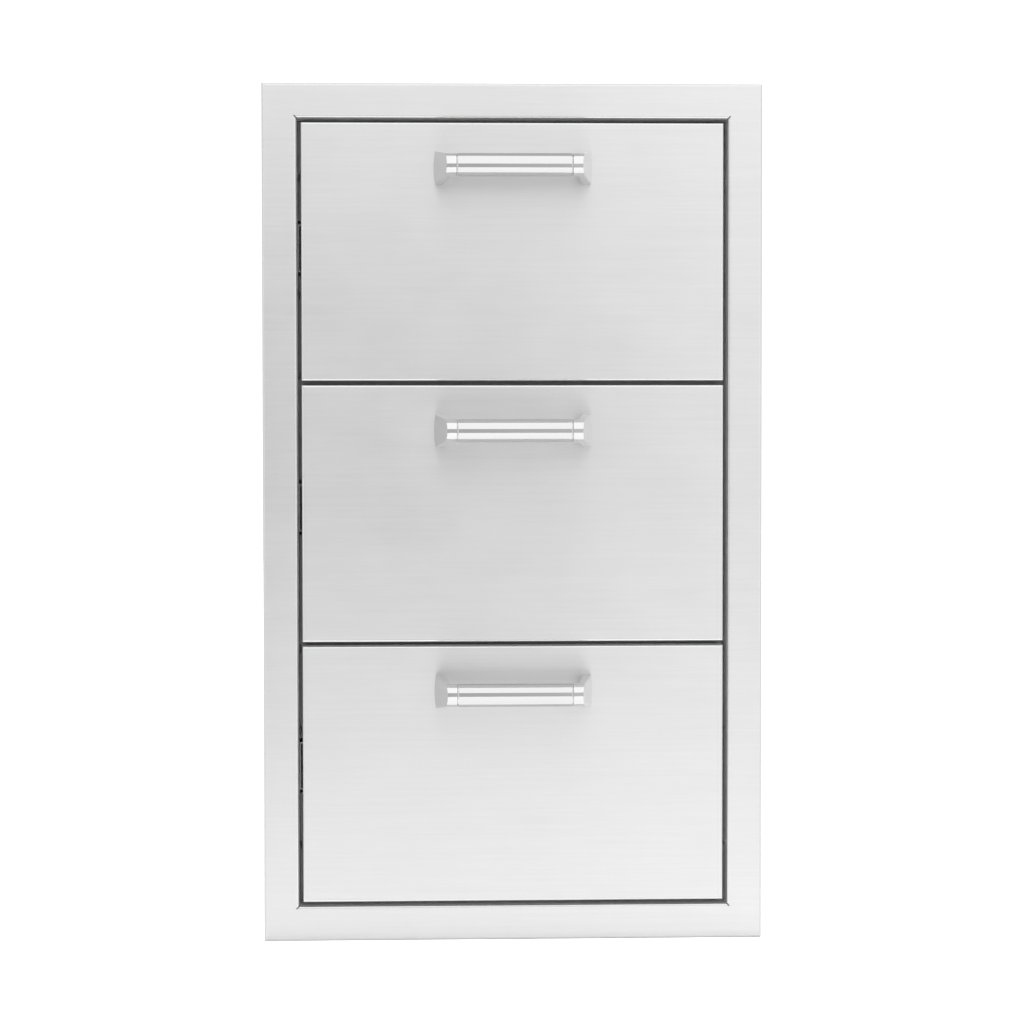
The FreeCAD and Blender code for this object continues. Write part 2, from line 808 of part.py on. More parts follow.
def handle_screws(number_up):
    """Two hexagon-head screws from behind the front's sheet into the brackets."""
    screws = []
    seat_y = face_y + size["front_sheet"]
    for name, sign in SIDES:
        stem = f"{DRAWERS[number_up]}_{name}"
        shank = doc.addObject("Part::Cylinder", f"{stem}_screw_shank")
        bind(shank, "Radius", size["handle_screw_diameter"] / 2)
        bind(shank, "Height", size["front_sheet"] + size["handle_screw_reach"])
        shank.Placement.Rotation = FreeCAD.Rotation(FreeCAD.Vector(1, 0, 0), 90)
        place(shank, screw_x * sign, seat_y, handle_z(number_up))
        head = doc.addObject("Part::Prism", f"{stem}_screw_head")
        head.Polygon = 6
        bind(head, "Circumradius", size["screw_head_width"] / math.sqrt(3))
        bind(head, "Height", size["screw_head_height"])
        head.Placement.Rotation = FreeCAD.Rotation(FreeCAD.Vector(1, 0, 0), -90)
        place(head, screw_x * sign, seat_y, handle_z(number_up))
        screw = doc.addObject("Part::Fuse", f"{stem}_handle_screw")
        screw.Base = shank
        screw.Tool = head
        screws.append(screw)
    group(f"{DRAWERS[number_up]}_handle_screws", screws)


# Assembly

keep(trim_frame())
for side_name, side_sign in SIDES:
    keep(case_side(side_name, side_sign))
    keep(upright(f"front_{side_name}_upright", side_sign, jamb_rear + size["upright_setback"]))
    keep(upright(f"rear_{side_name}_upright", side_sign, size["rear_upright_place"]))
case_panels()
for level in range(len(DRAWERS)):
    keep(drawer_front(level))
    keep(front_liner(level))
    keep(drawer_box(level))
    keep(handle_bar(level))
    handle_screws(level)
    for side_name, side_sign in SIDES:
        keep(handle_bracket(side_name, side_sign, level))
    slides(level)
bumpers = [slide_bumper(name, sign, level) for level in range(len(DRAWERS)) for name, sign in SIDES]
group("slide_bumpers", bumpers)
doc.recompute()

failed = [thing.Name for thing in doc.Objects if {"Invalid", "Error"} & set(thing.State)]
if failed:
    raise RuntimeError("these objects did not build: " + ", ".join(failed))
for thing in subparts:
    if thing.Shape.isNull() or not thing.Shape.isValid():
        raise RuntimeError(thing.Label + " has no valid shape")

os.makedirs("parts", exist_ok=True)
for thing in subparts:
    thing.Shape.exportStep(f"parts/{thing.Label}.step")
print(f"{len(subparts)} sub-parts written")
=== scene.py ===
"""Looks of the outdoor kitchen drawer unit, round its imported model. Metres, +Z up, fronts facing -Y."""

import itertools
import json
import math

import bmesh
import bpy
from mathutils import Matrix, Vector


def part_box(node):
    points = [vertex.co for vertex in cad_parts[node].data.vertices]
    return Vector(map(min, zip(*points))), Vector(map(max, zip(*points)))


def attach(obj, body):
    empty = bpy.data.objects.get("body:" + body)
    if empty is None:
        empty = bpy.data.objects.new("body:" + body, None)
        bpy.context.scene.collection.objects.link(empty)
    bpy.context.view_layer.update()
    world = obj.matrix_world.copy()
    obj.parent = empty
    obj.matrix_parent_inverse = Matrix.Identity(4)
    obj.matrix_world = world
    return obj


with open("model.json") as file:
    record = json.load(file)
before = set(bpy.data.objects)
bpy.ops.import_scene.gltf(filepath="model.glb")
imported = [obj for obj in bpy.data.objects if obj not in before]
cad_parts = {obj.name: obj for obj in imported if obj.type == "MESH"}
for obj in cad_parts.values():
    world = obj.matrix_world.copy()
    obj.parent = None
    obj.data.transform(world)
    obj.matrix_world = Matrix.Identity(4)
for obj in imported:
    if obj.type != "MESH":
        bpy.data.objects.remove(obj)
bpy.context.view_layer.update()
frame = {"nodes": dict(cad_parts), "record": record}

MM = 0.001
DRAWERS = ("bottom", "middle", "top")

# Left and right, or down and up
WAYS = (-1, 1)

# Places read from the model

TRIM_BORDER = 29 * MM
trim_low, trim_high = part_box("trim_frame")
upright_boxes = {place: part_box(f"{place}_left_upright") for place in ("front", "rear")}
TRIM_MIDDLE = (trim_low.z + trim_high.z) / 2
JAMB_REAR = trim_high.y
CASE_FACE = -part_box("case_left_side")[0].x
SLIDE_FACE = -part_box("top_left_outer_rail")[0].x
OPENING_HALF_WIDTH = trim_high.x - TRIM_BORDER
OPENING_HALF_HEIGHT = (trim_high.z - trim_low.z) / 2 - TRIM_BORDER


def middle_height(low, high):
    return (low.z + high.z) / 2


# Shader helpers

WHITE = (1, 1, 1, 1)
NOISE_ROUGHNESS = 0.55


def wire(tree, kind, settings=None, **inputs):
    """Adds a shader node. Each input is a value, or the socket that feeds it.

    An input is named with underscores for spaces, or by its number with an i before it.
    """
    made = tree.nodes.new(kind)
    for key, value in (settings or {}).items():
        setattr(made, key, value)
    for key, value in inputs.items():
        index = int(key[1:]) if key[0] == "i" and key[1:].isdigit() else key.replace("_", " ")
        if isinstance(value, bpy.types.NodeSocket):
            tree.links.new(value, made.inputs[index])
        else:
            made.inputs[index].default_value = value
    return made


def calc(tree, operation, first, second=0.0):
    return wire(tree, "ShaderNodeMath", {"operation": operation}, i0=first, i1=second).outputs[0]


def spread(tree, source, low, high, start=0.3, end=0.7):
    """Maps a value's range from start to end onto low to high, and holds it there outside.

    The usual start and end are those of a noise.
    """
    limits = {"From_Min": start, "From_Max": end, "To_Min": low, "To_Max": high}
    return wire(tree, "ShaderNodeMapRange", Value=source, **limits).outputs[0]


def parts_of(tree, vector):
    """The X, Y and Z of a vector socket."""
    return wire(tree, "ShaderNodeSeparateXYZ", Vector=vector).outputs


def place_of(tree):
    """The place on the piece, in its own space."""
    return wire(tree, "ShaderNodeTexCoord").outputs["Object"]


def noise(tree, frequency, detail, offset=(0.0, 0.0, 0.0)):
    """Noise fixed to the piece, with so many grains a metre along each axis."""
    mapped = wire(tree, "ShaderNodeMapping", Vector=place_of(tree), Scale=frequency, Location=offset)
    shape = {"Scale": 1.0, "Detail": detail, "Roughness": NOISE_ROUGHNESS}
    return wire(tree, "ShaderNodeTexNoise", Vector=mapped.outputs[0], **shape).outputs["Fac"]


def new_material(name):
    made = bpy.data.materials.new(name)
    made.use_nodes = True
    made.node_tree.nodes.clear()
    return made, made.node_tree


def finish_material(tree, shader):
    wire(tree, "ShaderNodeOutputMaterial", Surface=shader.outputs[0])


# Camera

CAMERA_PLACE = Vector((-107.4, -2584.3, 455.4)) * MM
CAMERA_YAW = math.radians(-2.37)
CAMERA_PITCH = math.radians(-2.11)
CAMERA_ROLL = math.radians(0.06)
SENSOR_WIDTH = 36.0
PICTURE_PIXELS = 1024
FOCAL_PIXELS = 3070
NEAREST_SEEN = 0.05
FARTHEST_SEEN = 50


def make_camera():
    data = bpy.data.cameras.new("camera")
    data.lens = SENSOR_WIDTH * FOCAL_PIXELS / PICTURE_PIXELS
    data.sensor_width = SENSOR_WIDTH
    data.clip_start = NEAREST_SEEN
    data.clip_end = FARTHEST_SEEN
    camera = bpy.data.objects.new("camera", data)
    turn = Matrix.Rotation(CAMERA_YAW, 4, "Z") @ Matrix.Rotation(CAMERA_PITCH, 4, "X")
    turn = turn @ Matrix.Rotation(CAMERA_ROLL, 4, "Y") @ Matrix.Rotation(math.radians(90), 4, "X")
    camera.matrix_world = Matrix.Translation(CAMERA_PLACE) @ turn
    bpy.context.scene.collection.objects.link(camera)
    bpy.context.scene.camera = camera


# Studio

# Strength of the tent in all, and how much of it is left on each side, far aside and behind the unit
TENT_WHITE = 1.64
TENT_LEFT = 0.91
TENT_RIGHT = 1.00
FAR_SIDES = 0.72
REAR_TOP = 0.45
REAR_LOW = 0.7
BACKDROP_WHITE = 1.2

# Where these changes start and end, as parts of a direction of length one
TENT_ACROSS = (-0.6, 0.6)
TENT_FAR = (0.48, 0.75)
TENT_HIGH = (0.55, 0.80)
TENT_BEHIND = (-0.05, 0.15)
TENT_LOW = (0.45, 0.75)
TENT_BACKWARDS = (-0.8, 0.8)

# The floor's glow as the steel reflects it. It stops at the unit's front and far to its sides.
FLOOR_SIZE = 12.0
FLOOR_WHITE = 0.93
FLOOR_GLOW = 0.54
FLOOR_GLOW_BEHIND = 0.05
FLOOR_SEEN = 0.5
FLOOR_FRONT = (-0.04, -0.012)
FLOOR_POOL = (0.22, 0.7)

# The gap between the light panels: its edges, and its glow at the left, middle and right
GAP_LOW, GAP_HIGH = 0.08, 0.75
GAP_START, GAP_END = -0.7, 0.5
GAP_DISTANCE = -1.0
GAP_LEFT = 0.56
GAP_MIDDLE = 0.65
GAP_RIGHT = 1.08
GAP_LEFT_PART = (-0.3, -0.05)
GAP_RIGHT_PART = (-0.05, 0.42)


def make_world():
    """A white tent, darker to the left, far to the sides and behind. The camera sees it as plain white."""
    world = bpy.data.worlds.new("studio")
    bpy.context.scene.world = world
    world.use_nodes = True
    tree = world.node_tree
    tree.nodes.clear()
    parts = parts_of(tree, wire(tree, "ShaderNodeTexCoord").outputs["Generated"])
    sideways = spread(tree, parts["X"], TENT_LEFT, TENT_RIGHT, *TENT_ACROSS)
    far = spread(tree, calc(tree, "ABSOLUTE", parts["X"]), 1.0, FAR_SIDES, *TENT_FAR)
    sideways = calc(tree, "MULTIPLY", sideways, far)
    above = spread(tree, parts["Z"], 0.0, 1.0, *TENT_HIGH)
    behind = spread(tree, parts["Y"], 0.0, 1.0, *TENT_BEHIND)
    rear_top = spread(tree, calc(tree, "MULTIPLY", above, behind), 1.0, REAR_TOP, 0.0, 1.0)
    low = spread(tree, parts["Z"], 1.0, 0.0, *TENT_LOW)
    backwards = spread(tree, parts["Y"], 0.0, 1.0 - REAR_LOW, *TENT_BACKWARDS)
    rear_low = calc(tree, "SUBTRACT", 1.0, calc(tree, "MULTIPLY", low, backwards))
    strength = calc(tree, "MULTIPLY", calc(tree, "MULTIPLY", sideways, rear_low), rear_top)
    strength = calc(tree, "MULTIPLY", strength, TENT_WHITE)
    lighting = wire(tree, "ShaderNodeBackground", Color=WHITE, Strength=strength)
    backdrop = wire(tree, "ShaderNodeBackground", Color=WHITE, Strength=BACKDROP_WHITE)
    seen = wire(tree, "ShaderNodeLightPath").outputs["Is Camera Ray"]
    mixed = wire(tree, "ShaderNodeMixShader", i0=seen, i1=lighting.outputs[0], i2=backdrop.outputs[0])
    wire(tree, "ShaderNodeOutputWorld", Surface=mixed.outputs[0])


def make_floor():
    """White sheet that glows a little, so that it is nearly as white as the tent."""
    bpy.ops.mesh.primitive_plane_add(size=FLOOR_SIZE)
    floor = bpy.context.object
    floor.name = "floor"
    made, tree = new_material("floor_white")
    paper = wire(tree, "ShaderNodeBsdfDiffuse", Color=(FLOOR_WHITE, FLOOR_WHITE, FLOOR_WHITE, 1))
    seen = wire(tree, "ShaderNodeLightPath").outputs["Is Camera Ray"]
    parts = parts_of(tree, place_of(tree))
    unseen = spread(tree, parts["Y"], FLOOR_GLOW, FLOOR_GLOW_BEHIND, *FLOOR_FRONT)
    pool = spread(tree, calc(tree, "ABSOLUTE", parts["X"]), 1.0, 0.0, *FLOOR_POOL)
    unseen = calc(tree, "MULTIPLY", unseen, pool)
    strength = calc(tree, "MULTIPLY", unseen, calc(tree, "SUBTRACT", 1.0, seen))
    strength = calc(tree, "ADD", strength, calc(tree, "MULTIPLY", seen, FLOOR_SEEN))
    glow = wire(tree, "ShaderNodeEmission", Color=WHITE, Strength=strength)
    finish_material(tree, wire(tree, "ShaderNodeAddShader", i0=paper.outputs[0], i1=glow.outputs[0]))
    floor.data.materials.append(made)


def make_gap_card():
    """The dimmer space between the light panels round the camera, as the steel reflects it."""
    corners = [
        (GAP_START, GAP_DISTANCE, GAP_LOW), (GAP_END, GAP_DISTANCE, GAP_LOW),
        (GAP_END, GAP_DISTANCE, GAP_HIGH), (GAP_START, GAP_DISTANCE, GAP_HIGH),
    ]
    mesh = bpy.data.meshes.new("gap_card")
    mesh.from_pydata(corners, [], [(0, 1, 2, 3)])
    made, tree = new_material("gap_glow")
    across = parts_of(tree, place_of(tree))["X"]
    left_part = spread(tree, across, GAP_LEFT, GAP_MIDDLE, *GAP_LEFT_PART)
    right_part = spread(tree, across, 0.0, GAP_RIGHT - GAP_MIDDLE, *GAP_RIGHT_PART)
    strength = calc(tree, "ADD", left_part, right_part)
    finish_material(tree, wire(tree, "ShaderNodeEmission", Color=WHITE, Strength=strength))
    mesh.materials.append(made)
    card = bpy.data.objects.new("gap_card", mesh)
    bpy.context.scene.collection.objects.link(card)
    for rays in ("camera", "diffuse", "shadow", "transmission"):
        setattr(card, f"visible_{rays}", False)


# Materials

GRAIN_AXES = {"x": (1, 0, 0), "y": (0, 1, 0), "z": (0, 0, 1)}

# Streaks are longer and wider than the grain, and patches are faint clouds
GRAIN_DETAIL = 4.0
STREAK_DETAIL = 3.0
STREAK_LONGER = 4
STREAK_WIDER = 5
STREAK_OFFSET = (3.1, 1.7, 5.3)
STREAK_HEIGHT = 2.0
PATCHES = {"frequency": (16.0, 16.0, 20.0), "detail": 3.0, "offset": (9.0, 2.0, 4.0)}
GLOSS_CHANGE = 0.03
HAZE_ROUGHNESS = 0.35

# A quarter of a turn puts the wide way of the gloss across the grain
BRUSHED_TURN = 0.25

# How far a bend faces the front where its polish ends at the front face, and where it starts inside
POLISH_OUTER = (0.93, 0.99)
POLISH_INNER = (0.05, 0.30)

# Where the polish ends, counted inwards from the trim's outer edges
POLISH_KEPT = 12 * MM
POLISH_GONE = 6 * MM

RUBBER_GRIT = {"frequency": (900.0, 900.0, 900.0), "detail": 3.0}
RUBBER_BUMP = {"Strength": 0.4, "Distance": 5e-5}
RUBBER_SHADE = 0.035
RUBBER_BLUE = (0.034, 0.040)
RUBBER_ROUGHNESS = (0.55, 0.75)


def grain_frequency(axis, length, width):
    """Grains a metre along each axis, for strokes of a length along one axis and a width across it."""
    return tuple(1 / length if along else 1 / width for along in GRAIN_AXES[axis])


def inside_outline(tree):
    """One within the trim, down to nothing at the bends round its outside."""
    parts = parts_of(tree, place_of(tree))
    across = calc(tree, "ABSOLUTE", parts["X"])
    up = calc(tree, "ABSOLUTE", calc(tree, "SUBTRACT", parts["Z"], TRIM_MIDDLE))
    sides = spread(tree, across, 1.0, 0.0, trim_high.x - POLISH_KEPT, trim_high.x - POLISH_GONE)
    ends = spread(tree, up, 1.0, 0.0, TRIM_MIDDLE - POLISH_KEPT, TRIM_MIDDLE - POLISH_GONE)
    return calc(tree, "MULTIPLY", sides, ends)


def polished_bends(tree, polish):
    """How much smoother the bends round the fronts and the opening are than the flat faces."""
    normal = wire(tree, "ShaderNodeTexCoord").outputs["Normal"]
    facing = calc(tree, "ABSOLUTE", parts_of(tree, normal)["Y"])
    outer = spread(tree, facing, polish, 0.0, *POLISH_OUTER)
    inner = spread(tree, facing, 0.0, 1.0, *POLISH_INNER)
    return calc(tree, "MULTIPLY", calc(tree, "MULTIPLY", outer, inner), inside_outline(tree))


def steel(
    name, shade, roughness, stroke, grain, brushed=0.0, mottle=0.01, scratch=0.006, bump=1e-6,
    metal=1.0, haze=0.0, polish=0.0, edge_tint=1.0,
):
    """Stainless steel with fine grain along one axis.

    stroke is the length and width of a grain. brushed is how much wider the gloss spreads across the
    grain. mottle is how much the patches change the shade and the gloss, and scratch how much the grain
    changes the shade. haze is how much the fine scratches lighten the steel when it is seen almost edge
    on. polish is how much handling has smoothed the bends round the front faces. edge_tint is how much
    of its mirror reflection the steel keeps when it is seen almost edge on.
    """
    made, tree = new_material(name)
    length, width = stroke
    strokes = noise(tree, grain_frequency(grain, length, width), GRAIN_DETAIL)
    wide = grain_frequency(grain, length * STREAK_LONGER, width * STREAK_WIDER)
    streaks = noise(tree, wide, STREAK_DETAIL, STREAK_OFFSET)
    patches = noise(tree, **PATCHES)

    value = spread(tree, patches, 1 - mottle, 1 + mottle)
    for marks in (strokes, streaks):
        value = calc(tree, "ADD", value, spread(tree, marks, -scratch, scratch))
    color = wire(tree, "ShaderNodeVectorMath", {"operation": "SCALE"}, i0=shade, Scale=value).outputs[0]
    rough = calc(tree, "ADD", spread(tree, strokes, -GLOSS_CHANGE, GLOSS_CHANGE), roughness)
    rough = calc(tree, "ADD", rough, spread(tree, patches, -mottle, mottle))
    if polish:
        rough = calc(tree, "SUBTRACT", rough, polished_bends(tree, polish))
    height = calc(tree, "ADD", strokes, calc(tree, "MULTIPLY", streaks, STREAK_HEIGHT))
    bumped = wire(tree, "ShaderNodeBump", Strength=1.0, Distance=bump, Height=height).outputs[0]
    shader = wire(
        tree, "ShaderNodeBsdfPrincipled", Base_Color=color, Metallic=metal, Roughness=rough, Normal=bumped,
    )
    shader.inputs["Specular Tint"].default_value = (edge_tint, edge_tint, edge_tint, 1)
    shader.inputs["Sheen Weight"].default_value = haze
    shader.inputs["Sheen Roughness"].default_value = HAZE_ROUGHNESS
    if brushed:
        shader.inputs["Anisotropic"].default_value = brushed
        shader.inputs["Anisotropic Rotation"].default_value = BRUSHED_TURN
        along = wire(tree, "ShaderNodeCombineXYZ", **dict(zip("XYZ", map(float, GRAIN_AXES[grain]))))
        tree.links.new(along.outputs[0], shader.inputs["Tangent"])
    finish_material(tree, shader)
    return made


def rubber(name):
    made, tree = new_material(name)
    grit = noise(tree, **RUBBER_GRIT)
    bumped = wire(tree, "ShaderNodeBump", Height=grit, **RUBBER_BUMP).outputs[0]
    blue = spread(tree, grit, *RUBBER_BLUE)
    shade = wire(tree, "ShaderNodeCombineColor", i0=RUBBER_SHADE, i1=RUBBER_SHADE, i2=blue)
    shader = wire(
        tree, "ShaderNodeBsdfPrincipled", Base_Color=shade.outputs[0],
        Roughness=spread(tree, grit, *RUBBER_ROUGHNESS), Normal=bumped,
    )
    finish_material(tree, shader)
    return made


# Each steel's shade, roughness, size of a grain and axis of the grain, and what else it has
STEELS = {
    "face_steel": (
        (0.63, 0.63, 0.63), 0.34, (0.030, 0.0004), "x",
        {"brushed": 0.8, "mottle": 0.012, "scratch": 0.016, "metal": 0.94, "haze": 0.5, "polish": 0.2},
    ),
    "case_steel": (
        (0.50, 0.50, 0.503), 0.34, (0.020, 0.0006), "z",
        {"brushed": 0.4, "mottle": 0.02, "metal": 0.8, "haze": 0.3},
    ),
    # Painted shade: the face frame's steel is much darker than the case's, so the gaps between the fronts
    # read dark grey
    "frame_steel_painted_shade": (
        (0.30, 0.30, 0.305), 0.42, (0.020, 0.0006), "x",
        {"mottle": 0.03, "metal": 0.8},
    ),
    "box_steel": (
        (0.60, 0.60, 0.603), 0.32, (0.020, 0.0006), "y",
        {"brushed": 0.4, "mottle": 0.02, "metal": 0.75, "haze": 0.35},
    ),
    "slide_steel": (
        (0.50, 0.512, 0.525), 0.28, (0.040, 0.0005), "y",
        {"mottle": 0.015, "bump": 4e-7, "metal": 0.8, "haze": 0.2},
    ),
    "cage_steel": (
        (0.45, 0.45, 0.457), 0.34, (0.010, 0.0008), "y",
        {"mottle": 0.02},
    ),
    "ball_steel": (
        (0.60, 0.60, 0.607), 0.08, (0.002, 0.002), "y",
        {},
    ),
    "handle_steel": (
        (0.565, 0.565, 0.565), 0.07, (0.012, 0.0004), "x",
        {"bump": 2e-7, "edge_tint": 0.78},
    ),
    "bracket_steel": (
        (0.60, 0.60, 0.60), 0.10, (0.003, 0.002), "y",
        {"bump": 2e-7, "haze": 0.2},
    ),
    "screw_steel": (
        (0.54, 0.54, 0.547), 0.28, (0.001, 0.001), "y",
        {"mottle": 0.03},
    ),
    # Painted shade: the weld beads are near black, so the corner slits read dark
    "weld_steel_painted_shade": (
        (0.12, 0.117, 0.114), 0.45, (0.0008, 0.0008), "y",
        {"mottle": 0.04, "bump": 2e-5},
    ),
}

MATERIALS = {name: steel(name, *basics, **extras) for name, (*basics, extras) in STEELS.items()}
MATERIALS["bumper_rubber"] = rubber("bumper_rubber")

# How far the sharp edges of the sheets and castings are rounded
EDGE_ROUNDING = {
    "case_steel": 0.35 * MM,
    "box_steel": 0.3 * MM,
    "slide_steel": 0.3 * MM,
    "bracket_steel": 0.5 * MM,
    "screw_steel": 0.3 * MM,
    "bumper_rubber": 0.8 * MM,
}
JOIN_DISTANCE = 0.002 * MM
FLAT_ANGLE = math.radians(0.5)
SHARP_ANGLE = math.radians(35)
ROUNDING_STEPS = 2
FLAT_FACE_WEIGHT = 80


def soften(node, width):
    """Rounds a part's sharp edges. Its triangles arrive apart, so they are joined first."""
    joined = node.modifiers.new("joined", "WELD")
    joined.merge_threshold = JOIN_DISTANCE
    whole = node.modifiers.new("whole", "DECIMATE")
    whole.decimate_type = "DISSOLVE"
    whole.angle_limit = FLAT_ANGLE
    rounded = node.modifiers.new("rounded", "BEVEL")
    rounded.width = width
    rounded.segments = ROUNDING_STEPS
    rounded.limit_method = "ANGLE"
    rounded.angle_limit = SHARP_ANGLE
    rounded.use_clamp_overlap = True
    shaded = node.modifiers.new("shaded", "WEIGHTED_NORMAL")
    shaded.weight = FLAT_FACE_WEIGHT


def dress_nodes():
    """Gives each carried-over part its slot's material and rounds its edges."""
    slots = {entry["node"]: entry["material_slot"] for entry in frame["record"]["subparts"]}
    for name, node in frame["nodes"].items():
        slot = slots[name]
        node.data.materials.clear()
        node.data.materials.append(MATERIALS[slot])
        if slot in EDGE_ROUNDING:
            soften(node, EDGE_ROUNDING[slot])


# Small turned pieces

def pointing(place, direction):
    """The move that stands a piece made along +Z at a place, pointing in a direction."""
    turn = Vector(direction).to_track_quat("Z", "Y").to_matrix().to_4x4()
    return Matrix.Translation(place) @ turn


def turned(mesh, rings, move, count=24):
    """Adds a turned solid to the mesh, from rings of (radius, height) that go up its outside.

    A radius can be a function of the angle, for a ring that isn't round. Both ends are closed.
    """
    loops = []
    for radius, height in rings:
        loop = []
        for step in range(count):
            angle = 2 * math.pi * step / count
            reach = radius(angle) if callable(radius) else radius
            point = Vector((reach * math.cos(angle), reach * math.sin(angle), height))
            loop.append(mesh.verts.new(move @ point))
        loops.append(loop)
    for lower, upper in zip(loops, loops[1:]):
        for step in range(count):
            following = (step + 1) % count
            face = mesh.faces.new((lower[step], lower[following], upper[following], upper[step]))
            face.smooth = True
    mesh.faces.new(loops[0][::-1])
    mesh.faces.new(loops[-1])


def new_piece(name, mesh, body, material):
    """Makes the mesh an object of the scene that rides on a body."""
    data = bpy.data.meshes.new(name)
    mesh.to_mesh(data)
    mesh.free()
    data.materials.append(MATERIALS[material])
    piece = bpy.data.objects.new(name, data)
    bpy.context.scene.collection.objects.link(piece)
    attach(piece, body)
    return piece


def cross_slot(arm, width):
    """Radius of a cross-shaped recess at each angle."""
    def reach(angle):
        off_arm = abs((angle + math.pi / 4) % (math.pi / 2) - math.pi / 4)
        return min(arm, width / 2 / max(math.sin(off_arm), 1e-6))
    return reach


# Blind rivets through the jambs and case sides: flange outside, set bulb inside
RIVET_HEIGHTS = (-283 * MM, -184 * MM, -116 * MM, 116 * MM, 184 * MM, 283 * MM)
RIVET_LAP = 4 * MM
FLANGE_RINGS = [(4.2 * MM, 0.0), (4.2 * MM, 0.35 * MM), (3.4 * MM, 0.95 * MM), (1.9 * MM, 1.25 * MM)]
FLANGE_RINGS += [(1.35 * MM, 1.25 * MM), (1.3 * MM, 0.7 * MM), (0.6 * MM, 0.6 * MM)]
BULB_RINGS = [(2.3 * MM, 0.0), (3.0 * MM, 0.5 * MM), (3.1 * MM, 1.0 * MM), (2.6 * MM, 1.6 * MM)]
BULB_RINGS += [(1.5 * MM, 1.95 * MM), (0.5 * MM, 2.0 * MM)]


def make_rivets():
    rows = {
        "jamb": (JAMB_REAR - RIVET_LAP, OPENING_HALF_WIDTH),
        "front_upright": (sum(corner.y for corner in upright_boxes["front"]) / 2, SLIDE_FACE),
        "rear_upright": (sum(corner.y for corner in upright_boxes["rear"]) / 2, SLIDE_FACE),
    }
    for row, (place_y, inner_face) in rows.items():
        mesh = bmesh.new()
        for sign in WAYS:
            for height in RIVET_HEIGHTS:
                outside = Vector((CASE_FACE * sign, place_y, TRIM_MIDDLE + height))
                inside = Vector((inner_face * sign, place_y, TRIM_MIDDLE + height))
                turned(mesh, FLANGE_RINGS, pointing(outside, (sign, 0, 0)))
                turned(mesh, BULB_RINGS, pointing(inside, (-sign, 0, 0)), count=16)
        new_piece(f"{row}_rivets", mesh, "case", "screw_steel")


# Weld beads that close the corners of the opening, behind the face.
# They are coloured near black as painted shade, so the corner slits read dark
WELD_BEHIND_FACE = 2.4 * MM
WELD_START = -0.4 * MM
WELD_LENGTH = 7.2 * MM
WELD_RADIUS = 1.3 * MM
WELD_RIPPLES = 12
RIPPLE_NECK = 0.95
WELD_TIP = 0.02
WELD_BLUNTNESS = 0.35

# Plugs of weld, ground flush, that close the outer ends of the slits at the corners
PLUG_START = 3.0 * MM
PLUG_SIZE = Vector((1.04, 1.4, 1.8)) * MM
PLUG_SUNK = 0.03 * MM
PLUG_ROUNDING = 0.05 * MM


def make_corner_welds():
    rings = []
    for step in range(WELD_RIPPLES + 1):
        along = step / WELD_RIPPLES
        swell = max(math.sin(math.pi * along), WELD_TIP) ** WELD_BLUNTNESS
        rings.append((WELD_RADIUS * swell * (RIPPLE_NECK if step % 2 else 1.0), WELD_LENGTH * along))
    mesh = bmesh.new()
    for sign in WAYS:
        for way in WAYS:
            across, up = OPENING_HALF_WIDTH * sign, TRIM_MIDDLE + OPENING_HALF_HEIGHT * way
            outward = Vector((sign, 0, way)).normalized()
            start = Vector((across, trim_low.y + WELD_BEHIND_FACE, up)) + outward * WELD_START
            turned(mesh, rings, pointing(start, outward), count=16)
    new_piece("corner_welds", mesh, "case", "weld_steel_painted_shade")


def make_slit_plugs():
    mesh = bmesh.new()
    reach = (PLUG_START + PLUG_SIZE.z / 2) * math.sqrt(0.5)
    for sign in WAYS:
        for way in WAYS:
            x = (OPENING_HALF_WIDTH + reach) * sign
            z = TRIM_MIDDLE + (OPENING_HALF_HEIGHT + reach) * way
            place = Matrix.Translation((x, trim_low.y + PLUG_SUNK + PLUG_SIZE.y / 2, z))
            turn = Matrix.Rotation(math.radians(45) * sign * way, 4, "Y")
            move = place @ turn @ Matrix.Diagonal(PLUG_SIZE.to_4d())
            bmesh.ops.create_cube(mesh, size=1.0, matrix=move)
    piece = new_piece("slit_plugs", mesh, "case", "face_steel")
    soften(piece, PLUG_ROUNDING)


# Face frame at the rear of the jambs: strips along them, and a folded rail between each two drawers.
# Its steel is coloured dark as painted shade, so the gaps between the fronts read dark grey
STOP_SHEET = 1.2 * MM
STOP_WIDTH = 7 * MM
RAIL_LIP = 11 * MM
RAIL_HALF_HEIGHT = 15 * MM
SLIDE_WINDOW = 23 * MM
FRAME_ROUNDING = 0.4 * MM


def cell_solid(mesh, columns, layers, rows, filled):
    """Adds a solid made of the filled cells of a grid, from its X, Y and Z levels. It has no inner faces.

    filled takes the cell's middle and says whether it is part of the solid.
    """
    levels = (columns, layers, rows)
    made = {}

    def corner(place):
        if place not in made:
            made[place] = mesh.verts.new([levels[axis][place[axis]] for axis in range(3)])
        return made[place]

    def is_filled(cell):
        if not all(0 <= cell[axis] < len(levels[axis]) - 1 for axis in range(3)):
            return False
        middle = [(levels[axis][cell[axis]] + levels[axis][cell[axis] + 1]) / 2 for axis in range(3)]
        return filled(*middle)

    for cell in itertools.product(*(range(len(level) - 1) for level in levels)):
        if not is_filled(cell):
            continue
        for axis in range(3):
            first, second = (axis + 1) % 3, (axis + 2) % 3
            for way in (0, 1):
                beyond = list(cell)
                beyond[axis] += 1 if way else -1
                if is_filled(beyond):
                    continue
                ring = []
                for along_first, along_second in ((0, 0), (1, 0), (1, 1), (0, 1)):
                    place = list(cell)
                    place[axis] += way
                    place[first] += along_first
                    place[second] += along_second
                    ring.append(corner(tuple(place)))
                mesh.faces.new(ring if way else ring[::-1])


